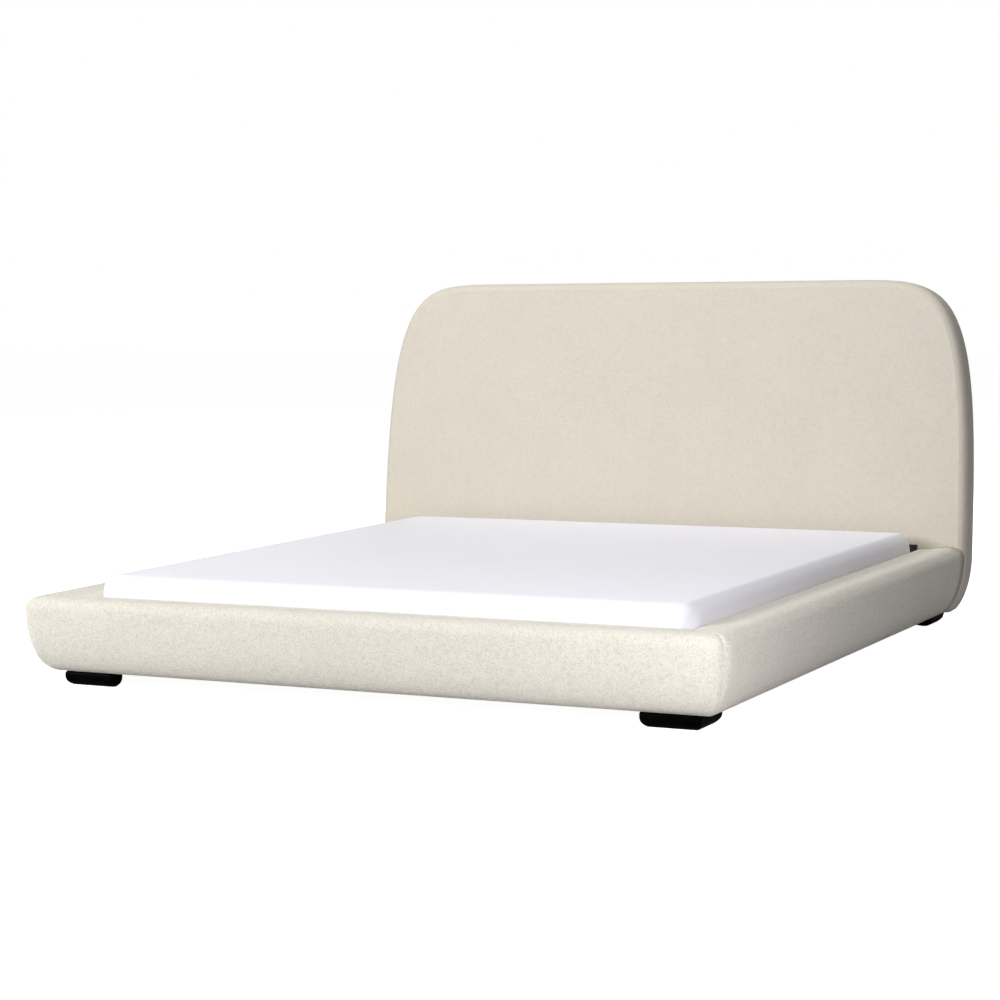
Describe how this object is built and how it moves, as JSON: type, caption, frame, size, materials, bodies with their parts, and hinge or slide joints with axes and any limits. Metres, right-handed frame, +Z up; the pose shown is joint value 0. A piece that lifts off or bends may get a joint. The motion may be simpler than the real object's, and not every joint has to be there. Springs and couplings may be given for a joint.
{
  "type": "upholstered headboard bed",
  "caption": "Low platform bed with a tall round-cornered upholstered headboard that leans back, wide padded rails curved in underneath, short black corner feet and a mattress set in the rails.",
  "frame": {"origin": "on the floor, under the middle of the bed's bounding box", "axes": "+X across the bed towards its right side seen from the foot end, which is the axis of its left-right symmetry, +Y from the foot end towards the headboard, +Z up"},
  "size_m": [2.268, 2.4384, 1.1814],
  "materials": {
    "boucle": "cream boucle, looped pile, matte",
    "mattress_fabric": "smooth white knit",
    "foam": "open-cell foam",
    "dust_cover": "black non-woven cloth",
    "bolt_steel": "zinc plated",
    "black_steel": "black powder coat",
    "glide_plastic": "moulded, fine texture",
    "foot_wood": "black lacquer, satin",
    "felt": "pressed felt",
    "plywood": "raw plywood",
    "pine": "planed pine"
  },
  "bodies": {
    "bed": {"headboard_cover": "boucle", "headboard_foam": "foam", "headboard_board": "plywood", "headboard_frame": "plywood", "headboard_back_panel": "dust_cover", "foot_rail_cover": "boucle", "foot_rail_foam": "foam", "foot_rail_frame": "plywood", "right_rail_cover": "boucle", "left_rail_cover": "boucle", "right_rail_foam": "foam", "left_rail_foam": "foam", "right_rail_frame": "plywood", "left_rail_frame": "plywood", "right_ledger": "pine", "left_ledger": "pine", "bracket_foot_right": "black_steel", "bracket_foot_left": "black_steel", "bracket_head_right": "black_steel", "bracket_head_left": "black_steel", "bolt_foot_right": "bolt_steel", "bolt_foot_left": "bolt_steel", "bolt_foot_side_right": "bolt_steel", "bolt_foot_side_left": "bolt_steel", "bolt_head_right": "bolt_steel", "bolt_head_left": "bolt_steel", "bolt_head_side_right": "bolt_steel", "bolt_head_side_left": "bolt_steel", "slat_01": "pine", "slat_02": "pine", "slat_03": "pine", "slat_04": "pine", "slat_05": "pine", "slat_06": "pine", "slat_07": "pine", "slat_08": "pine", "slat_09": "pine", "slat_10": "pine", "slat_11": "pine", "slat_12": "pine", "centre_beam": "pine", "beam_hanger_foot": "black_steel", "beam_hanger_head": "black_steel", "centre_leg_1": "pine", "centre_leg_2": "pine", "foot_foot_right": "foot_wood", "foot_foot_left": "foot_wood", "pad_foot_right": "felt", "pad_foot_left": "felt", "foot_head_right": "foot_wood", "foot_head_left": "foot_wood", "pad_head_right": "felt", "pad_head_left": "felt"},
    "mattress": {"mattress_cover": "mattress_fabric", "mattress_core": "foam"},
    "glide_1": {"centre_glide_1": "glide_plastic"},
    "glide_2": {"centre_glide_2": "glide_plastic"}
  },
  "joints": [
    {"name": "mattress_lift", "type": "slide", "parent": "bed", "child": "mattress", "axis": [0, 0, 1], "range_m": [0, 0.45]},
    {"name": "glide_1_slide", "type": "slide", "parent": "bed", "child": "glide_1", "axis": [0, 0, 1], "range_m": [0, 0.007]},
    {"name": "glide_2_slide", "type": "slide", "parent": "bed", "child": "glide_2", "axis": [0, 0, 1], "range_m": [0, 0.007]}
  ]
}
